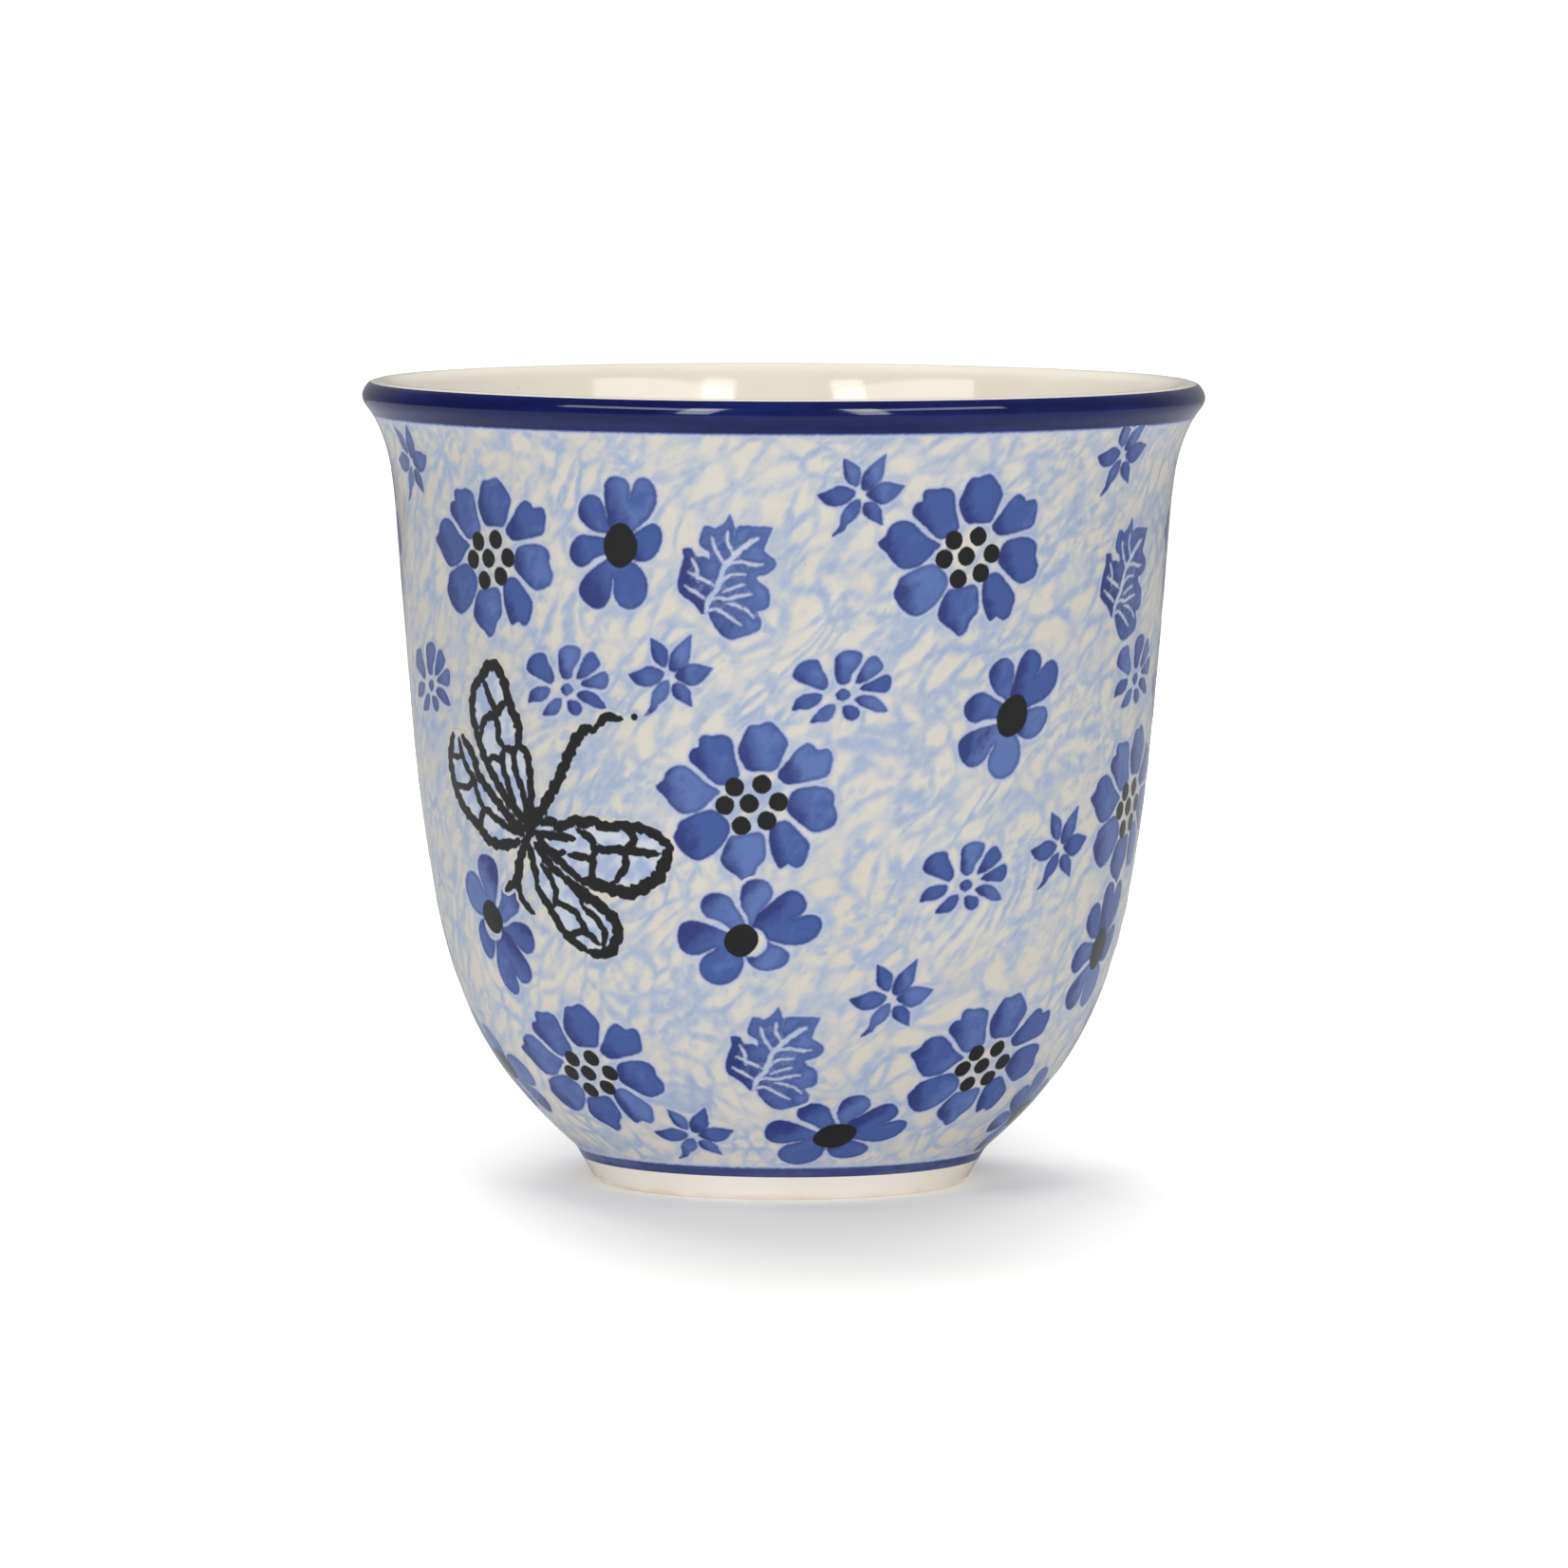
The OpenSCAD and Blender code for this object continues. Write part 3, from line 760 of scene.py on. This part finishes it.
class Nodes:
    """Short calls for the node tree of a material or a world."""

    def __init__(self, owner, shader="Principled BSDF"):
        owner.use_nodes = True
        self.owner, self.tree = owner, owner.node_tree
        self.shader = self.tree.nodes[shader]

    def node(self, kind, inputs=(), **settings):
        made = self.tree.nodes.new("ShaderNode" + kind)
        for key, value in settings.items():
            setattr(made, key, value)
        for key, value in dict(inputs).items():
            self.feed(made.inputs[key], value)
        return made

    def feed(self, socket, value):
        if isinstance(value, bpy.types.NodeSocket):
            self.tree.links.new(value, socket)
        else:
            socket.default_value = value

    def attribute(self, name, out="Fac"):
        return self.node("Attribute", attribute_name=name).outputs[out]

    def math(self, operation, *values):
        return self.node("Math", enumerate(values), operation=operation).outputs[0]

    def times(self, a, b):
        return self.math("MULTIPLY", a, b)

    def vector(self, operation, *values, **named):
        inputs = dict(enumerate(values), **named)
        made = self.node("VectorMath", inputs.items(), operation=operation)
        return made.outputs["Value" if operation == "LENGTH" else "Vector"]

    def noise(self, at, size, detail=2.0, roughness=0.5, out=0):
        """Noise whose features are about size across, in the units of at."""
        return self.node("TexNoise", {"Vector": at, "Scale": 1 / size, "Detail": detail,
                                      "Roughness": roughness}).outputs[out]

    def push(self, at, size, by):
        """A random shift that varies over a distance of size, up to half of by each way."""
        centred = self.vector("SUBTRACT", self.noise(at, size, 1, out=1), (0.5, 0.5, 0.5))
        return self.vector("SCALE", centred, Scale=by)

    def step(self, value, start, end, low=0.0, high=1.0):
        """A soft step: low up to start, high after end."""
        return self.node("MapRange", {0: value, 1: start, 2: end, 3: low, 4: high},
                         interpolation_type="SMOOTHSTEP").outputs[0]

    def mix(self, factor, a, b, blend="MIX"):
        made = self.node("Mix", data_type="RGBA", blend_type=blend)
        for socket, value in zip((made.inputs[0], made.inputs[6], made.inputs[7]), (factor, a, b)):
            self.feed(socket, value)
        return made.outputs[2]

    def object_mm(self):
        return self.vector("SCALE", self.node("TexCoord").outputs["Object"], Scale=1 / MM)

    def bump(self, height, strength, depth):
        """Relief in the shading, for a depth in millimetres."""
        made = self.node("Bump", {"Height": height, "Strength": strength, "Distance": depth * MM})
        self.tree.links.new(made.outputs[0], self.shader.inputs["Normal"])

    def finish(self, **sockets):
        """Feed the shader's sockets, and hand over what it belongs to."""
        for key, value in sockets.items():
            self.feed(self.shader.inputs[key.replace("_", " ").title()], value)
        return self.owner


def material_nodes(name):
    return Nodes(bpy.data.materials.new(name))


CREAM = rgb(240, 234, 222)
CREAM_WARM = rgb(236, 228, 212)
IRON = rgb(150, 120, 90)
MIST = rgb(168, 180, 201)
PERIWINKLE = rgb(144, 163, 200)
INK_FRINGE = rgb(178, 188, 218)
WASH_PALE = rgb(196, 203, 216)
WASH_BLUE = rgb(150, 170, 208)
PETAL = rgb(60, 85, 149)
PETAL_LIGHT = rgb(88, 113, 171)
PETAL_DARK = rgb(34, 46, 112)
COBALT = rgb(12, 20, 76)
COBALT_THIN = rgb(20, 31, 98)
LINE_BLUE = rgb(52, 64, 116)
LINE_THIN = rgb(84, 96, 146)
BLACK = rgb(10, 10, 14)
CLAY = rgb(238, 229, 215)
CLAY_SHADE = rgb(229, 218, 202)
GRIT = rgb(190, 172, 150)
# Factors that the cream is multiplied by, under the brushwork and on the foot
GROUND_TONE = (0.76, 0.765, 0.775, 1)
FOOT_TONE = (1.02, 1.02, 1.06, 1)

GLAZE_IOR = 1.52
GLAZE_ROUGHNESS = (0.05, 0.1)
PEEL_SIZE, PEEL_STRENGTH, PEEL_DEPTH = 2.6, 0.25, 0.012
SPECK_SPACING, SPECK_STRENGTH = 4.5, 0.35
# The rows of brush dabs: how far they bend over what distance, and a dab's width and length
BEND_SIZE, BEND_BY = 15, 16
WOBBLE_SIZE, WOBBLE_BY = 1.6, 0.9
DAB_WIDTH, DAB_LENGTH = 3.3, 4.6
FRINGE_STRENGTH = 0.75
WASH_STRENGTH = 0.8
SIDE_STRENGTH = 0.92
EDGE_STRENGTH = 0.35


# Below, the first number after a noise's place is the size of its features, in millimetres unless
# the place is scaled. Noise is mostly between 0.25 and 0.75, so steps over it lie in that range.

def gloss(nodes, at):
    """The glaze's skin: barely uneven gloss and a faint orange peel."""
    cloud = nodes.noise(at, 9)
    nodes.bump(nodes.noise(at, PEEL_SIZE, 1), PEEL_STRENGTH, PEEL_DEPTH)
    nodes.finish(roughness=nodes.step(cloud, 0.3, 0.7, *GLAZE_ROUGHNESS))
    nodes.feed(nodes.shader.inputs["IOR"], GLAZE_IOR)


def cream_ground(nodes, at):
    """Warm white glaze over a grey-beige clay: slow clouds and a few iron freckles."""
    base = nodes.mix(nodes.step(nodes.noise(at, 22, 3), 0.35, 0.7), CREAM, CREAM_WARM)
    speck = nodes.node("TexVoronoi", {"Vector": at, "Scale": 1 / SPECK_SPACING}).outputs["Distance"]
    chance = nodes.step(nodes.noise(at, 6, 0), 0.55, 0.6)
    spot = nodes.times(nodes.step(speck, 0.02, 0.045, 1, 0), chance)
    return nodes.mix(nodes.times(spot, SPECK_STRENGTH), base, IRON)


def brushed_ground(nodes, at):
    """Soft cream dabs in curving rows, with watery pale blue between them and sponged over."""
    bent = nodes.vector("ADD", at, nodes.push(at, BEND_SIZE, BEND_BY))
    bent = nodes.vector("ADD", bent, nodes.push(at, WOBBLE_SIZE, WOBBLE_BY))
    dab = nodes.node("Mapping", {"Vector": bent, "Scale": (1 / DAB_WIDTH, 1 / DAB_WIDTH,
                                                           1 / DAB_LENGTH)}).outputs[0]
    gap = nodes.node("TexVoronoi", {"Vector": dab, "Scale": 1.0},
                     feature="DISTANCE_TO_EDGE").outputs["Distance"]
    between = nodes.step(gap, 0, 0.33, 1, 0)
    strength = nodes.step(nodes.noise(at, 5), 0.3, 0.66, 0.45, 1)
    fine = nodes.noise(at, 1.4)
    marks = nodes.times(nodes.times(between, strength), nodes.step(fine, 0.25, 0.75, 0.5, 1))
    patch = nodes.step(nodes.noise(at, 9), 0.4, 0.66, 0.2, 1)
    sponge = nodes.times(nodes.step(fine, 0.36, 0.7, 0.1, 0.75), patch)
    blue = nodes.math("MAXIMUM", marks, sponge)
    ground = nodes.mix(1, cream_ground(nodes, nodes.object_mm()), GROUND_TONE, "MULTIPLY")
    misty = nodes.mix(nodes.step(blue, 0, 0.75), ground, MIST)
    return nodes.mix(nodes.step(blue, 0.55, 1, 0, 0.6), misty, PERIWINKLE)


def petal_blue(nodes, at, edge):
    """Watery cobalt: each petal has its tone and its darker side, and ink pools along its edge."""
    pool = nodes.noise(at, 2.4, 3, 0.6)
    light = nodes.math("ADD", nodes.times(nodes.attribute("tone"), 0.3), pool)
    petal = nodes.mix(nodes.step(light, 0.3, 0.8), PETAL, PETAL_LIGHT)
    uneven = nodes.times(nodes.math("SUBTRACT", pool, 0.5), 1.6)
    side = nodes.step(nodes.math("ADD", nodes.attribute("side"), uneven), 0.05, 0.85)
    petal = nodes.mix(nodes.times(side, SIDE_STRENGTH), petal, PETAL_DARK)
    pooled = nodes.step(edge, 0.55, 1.05, 1, 0)
    return nodes.mix(nodes.times(pooled, EDGE_STRENGTH), petal, PETAL_DARK)


def decorated_glaze():
    """Brushed ground with stamped blue and black under a clear glaze. Where a mesh has no stamp
    attributes they read as nought, which is bare ground."""
    n = material_nodes("decorated_glaze")
    at = n.attribute("wrap", "Vector")
    blue, black, wash = (n.attribute(k) for k in ("blue", "black", "wash"))
    fuzz = n.math("SUBTRACT", n.noise(at, 0.55), 0.5)
    edge = n.math("ADD", blue, n.times(fuzz, 0.22))
    fringe = n.times(n.step(edge, 0.02, 0.22), FRINGE_STRENGTH)
    ground = n.mix(fringe, brushed_ground(n, at), INK_FRINGE)
    thin = n.mix(n.step(n.noise(at, 2.2, 1), 0.42, 0.62), WASH_PALE, WASH_BLUE)
    ground = n.mix(n.times(n.step(wash, 0.3, 0.7), WASH_STRENGTH), ground, thin)
    inked = n.mix(n.step(edge, 0.22, 0.56), ground, petal_blue(n, at, edge))
    dark = n.step(n.math("ADD", black, n.times(fuzz, 0.12)), 0.28, 0.48)
    gloss(n, at)
    return n.finish(base_color=n.mix(dark, inked, BLACK))


def cream_glaze(name, tone=None):
    """Clear glaze on cream, multiplied by a tone if there is one."""
    n = material_nodes(name)
    at = n.object_mm()
    gloss(n, at)
    ground = cream_ground(n, at)
    if tone:
        ground = n.mix(1, ground, tone, "MULTIPLY")
    return n.finish(base_color=ground)


def cobalt_glaze(name, colour, thin):
    """Brushed-on cobalt: streaks round the cup where the brush laid more or less."""
    n = material_nodes(name)
    at = n.object_mm()
    streak = n.node("Mapping", {"Vector": at, "Scale": (0.08, 0.08, 1.1)}).outputs[0]
    laid = n.math("ADD", n.times(n.noise(streak, 1, 3), 0.7), n.times(n.noise(at, 1.6), 0.3))
    gloss(n, at)
    return n.finish(base_color=n.mix(n.step(laid, 0.4, 0.75), colour, thin))


def bare_clay():
    """Unglazed stoneware: grainy, warm grey-beige, with darker grit."""
    n = material_nodes("bare_clay")
    at = n.object_mm()
    grain = n.noise(at, 0.5, 4, 0.7)
    base = n.mix(n.step(n.noise(at, 5, 3), 0.35, 0.65), CLAY, CLAY_SHADE)
    base = n.mix(n.step(grain, 0.6, 0.75, 0, 0.3), base, GRIT)
    n.bump(grain, 0.6, 0.05)
    return n.finish(base_color=base, roughness=n.step(grain, 0.3, 0.7, 0.6, 0.85))


# ---------------------------------------------------------------- the cup

def build_body():
    """The clay, its skin just under the coats and bare at the foot's edge and ring."""
    under = [(0, HOLLOW_Z), (HOLLOW_R, HOLLOW_Z), (RING_R - hollow_inset(FOOT_EDGE), FOOT_EDGE),
             (RING_R + FOOT_EDGE / 2, 0), (FOOT_R - FOOT_EDGE, 0)]
    bare = face_run(edge, edge.lengths(0.1))
    covered = []
    for section, step in ((foot, 0.5), (line, 0.5), (wall, 1.5), (band, 0.5), (inner, 1.5)):
        covered += face_run(section, section.lengths(step)[bool(covered):], -GLAZE - CLAY_GAP)
    up = circled(*heading(FOOT_LEAN))
    ledge = [(bare[-1][0], up, 1), (covered[0][0], up, 1)]
    top, top_normal, _ = covered[-1]
    axis = [(top, top_normal, 1), (circled(0, HOLLOW_Z) * MM, top_normal, 1)]
    runs = [*plain_runs(under), bare, ledge, covered, axis]
    return lathe("stoneware_body", runs, bare_clay(), "bare_clay", "stoneware_body")


def build_base_glaze(material):
    """The clear glaze in the hollow: a flat plate with a leaning edge."""
    low_z, top_z = HOLLOW_Z - GLAZE, HOLLOW_Z - BASE_TOP_GAP
    top_r = HOLLOW_R - BASE_SIDE_GAP
    path = [(0, low_z), (top_r + hollow_inset(GLAZE), low_z), (top_r, top_z), (0, top_z),
            (0, low_z)]
    return lathe("base_glaze", list(plain_runs(path)), material, "base_cream_glaze", "base_glaze")


# The blue's stored depth where the wall meets the lip's band and the foot's line
BLEED = 0.55


def mark_wall(piece):
    """The wall's attributes: where its brushwork is looked up, and the blue along its ends."""
    at = np.zeros(len(piece.data.vertices) * 3, np.float32)
    piece.data.vertices.foreach_get("co", at)
    x, y, z = at.reshape(-1, 3).T / MM
    add_attribute(piece, "wrap", wrap(np.arctan2(x, -y), np.hypot(x, y), z))
    to_end = np.minimum(BAND_Z - z, z - LINE_TOP)
    add_attribute(piece, "blue", np.clip(BLEED - to_end, 0, DEEPEST))


decorated = decorated_glaze()
cream = cream_glaze("cream_glaze")
cobalt = cobalt_glaze("cobalt_glaze", COBALT, COBALT_THIN)
line_blue = cobalt_glaze("cobalt_line", LINE_BLUE, LINE_THIN)
foot_cream = cream_glaze("foot_cream_glaze", FOOT_TONE)

build_body()
coat("inner_glaze", inner, 0.6, cream, "cream_glaze")
coat("rim_band", band, 0.15, cobalt, "cobalt_glaze")
mark_wall(coat("outer_glaze", wall, 0.6, decorated, "decorated_glaze"))
coat("foot_line", line, 0.15, line_blue, "cobalt_line")
coat("foot_glaze", foot, 0.3, foot_cream, "foot_cream_glaze")
build_base_glaze(foot_cream)

SEED = 7
rng = random.Random(SEED)
made = stamps()
for kind, places in PLACES.items():
    for i, (angle, height, *turned) in enumerate(places, 1):
        turn = turned[0] if turned else 0
        inlay(f"{kind}_{i}", made[kind], angle, height, turn, LIFTS[kind] + LIFT_STEP * i,
              decorated, "decorated_glaze", rng)


# ---------------------------------------------------------------- studio

# Soft boxes: name, azimuth, elevation, distance, width and height in metres, watts, and whether
# the glaze mirrors it
LAMPS = (
    ("soft_box_left", -24, 28, 1.3, 0.2, 1.0, 3.5, True),
    ("high_bank_left", -46, 42, 1.3, 0.9, 0.24, 2.4, True),
    ("soft_box_right", 24, 28, 1.3, 0.2, 1.0, 3.5, True),
    ("high_bank_right", 46, 42, 1.3, 0.9, 0.24, 2.4, True),
    ("back_light", -158, 54, 1.2, 0.7, 0.7, 7, False),
    ("overhead", 0, 90, 1.2, 0.9, 0.9, 4.4, False),
)
# Strength of the studio round the cup, and of the white backdrop behind it
DIM = 0.13
BACKDROP = 0.3
BACKDROP_FROM, BACKDROP_FULL = 0.45, 1.0
BACKDROP_SKEW = 0.35
WHITE = 1.2

FLOOR_R = 0.8
FLOOR_SIDES = 64
FLOOR_WHITE = (0.83, 0.82, 0.8, 1)
# In the glaze the floor is mirrored darker, and doesn't glow
FLOOR_MIRRORED = (0.5, 0.5, 0.5, 1)
FLOOR_LEVEL = 0.38
# For the camera the floor's glow is lowered around the cup into a painted shadow that is longer
# front to back, and grows outwards from it
FLOOR_SHAPE = (2.4, 0.6, 1)
PAINTED_SHADOW_GLOW = (-0.27, 0.06)

CAMERA_AT = (0.0002, -1.2475, 0.1465)
CAMERA_DOWN = 4.66
CAMERA_ROLL = 0.2
SENSOR = 36
LENS = 254.3


def area_light(name, azimuth, elevation, distance, width, height, power, mirrored):
    """A soft box that faces the cup. Azimuth runs from the front towards +X."""
    data = bpy.data.lights.new(name, "AREA")
    data.shape, data.size, data.size_y, data.energy = "RECTANGLE", width, height, power
    lamp = new_object(name, data)
    a, e = math.radians(azimuth), math.radians(elevation)
    out = Vector((math.sin(a) * math.cos(e), -math.cos(a) * math.cos(e), math.sin(e)))
    lamp.location = Vector((0, 0, HEIGHT * MM / 2)) + out * distance
    lamp.rotation_mode = "QUATERNION"
    lamp.rotation_quaternion = out.to_track_quat("Z", "Y")
    lamp.visible_camera = False
    lamp.visible_glossy = mirrored


def build_world():
    """A dim studio with a white backdrop behind the cup. The camera itself sees white."""
    n = Nodes(bpy.data.worlds.new("studio"), "Background")
    towards = n.node("SeparateXYZ", {0: n.node("TexCoord").outputs["Generated"]}).outputs
    level = n.times(n.step(towards["Y"], BACKDROP_FROM, BACKDROP_FULL, DIM, BACKDROP),
                    n.math("MULTIPLY_ADD", towards["X"], BACKDROP_SKEW, 1))
    seen = n.node("LightPath").outputs["Is Camera Ray"]
    strength = n.node("Mix", {0: seen, 2: level, 3: WHITE}).outputs[0]
    bpy.context.scene.world = n.finish(color=(1, 1, 1, 1), strength=strength)


def floor_paper():
    """White paper, lifted to pure white where the camera sees it, as if overexposed. Close round
    the cup that lift dips into a painted shadow that only the camera sees.
    """
    n = material_nodes("studio_floor")
    path = n.node("LightPath").outputs
    at = n.vector("MULTIPLY", n.node("TexCoord").outputs["Object"], FLOOR_SHAPE)
    away = n.vector("LENGTH", at)
    # The first step is a painted shadow: the camera sees the floor darker close round the cup
    glow = n.math("ADD", n.step(away, 0.03, 0.12, *PAINTED_SHADOW_GLOW), n.step(away, 0.12, 0.42))
    level = n.math("MULTIPLY_ADD", path["Is Glossy Ray"], -FLOOR_LEVEL, FLOOR_LEVEL)
    strength = n.math("MULTIPLY_ADD", path["Is Camera Ray"], glow, level)
    paper = n.mix(path["Is Glossy Ray"], FLOOR_WHITE, FLOOR_MIRRORED)
    return n.finish(base_color=paper, roughness=0.9, emission_color=(1, 1, 1, 1),
                    emission_strength=strength)


def build_floor():
    """A round sheet of paper level with the foot."""
    mesh = bpy.data.meshes.new("studio_floor")
    angles = [2 * math.pi * i / FLOOR_SIDES for i in range(FLOOR_SIDES)]
    rim = [(FLOOR_R * math.cos(a), FLOOR_R * math.sin(a), 0) for a in angles]
    mesh.from_pydata(rim, [], [list(range(FLOOR_SIDES))])
    mesh.materials.append(floor_paper())
    new_object("studio_floor", mesh)


def build_camera():
    """A long lens in front of the cup, looking slightly down at it."""
    data = bpy.data.cameras.new("camera")
    data.sensor_width, data.lens = SENSOR, LENS
    data.clip_start, data.clip_end = 0.05, 60
    camera = new_object("camera", data)
    camera.location = CAMERA_AT
    camera.rotation_mode = "QUATERNION"
    tilt = Euler((math.radians(90 - CAMERA_DOWN), 0, 0)).to_quaternion()
    camera.rotation_quaternion = tilt @ Quaternion((0, 0, 1), math.radians(CAMERA_ROLL))
    bpy.context.scene.camera = camera


build_world()
build_floor()
build_camera()
for lamp in LAMPS:
    area_light(*lamp)

bpy.context.scene.view_settings.view_transform = "Standard"
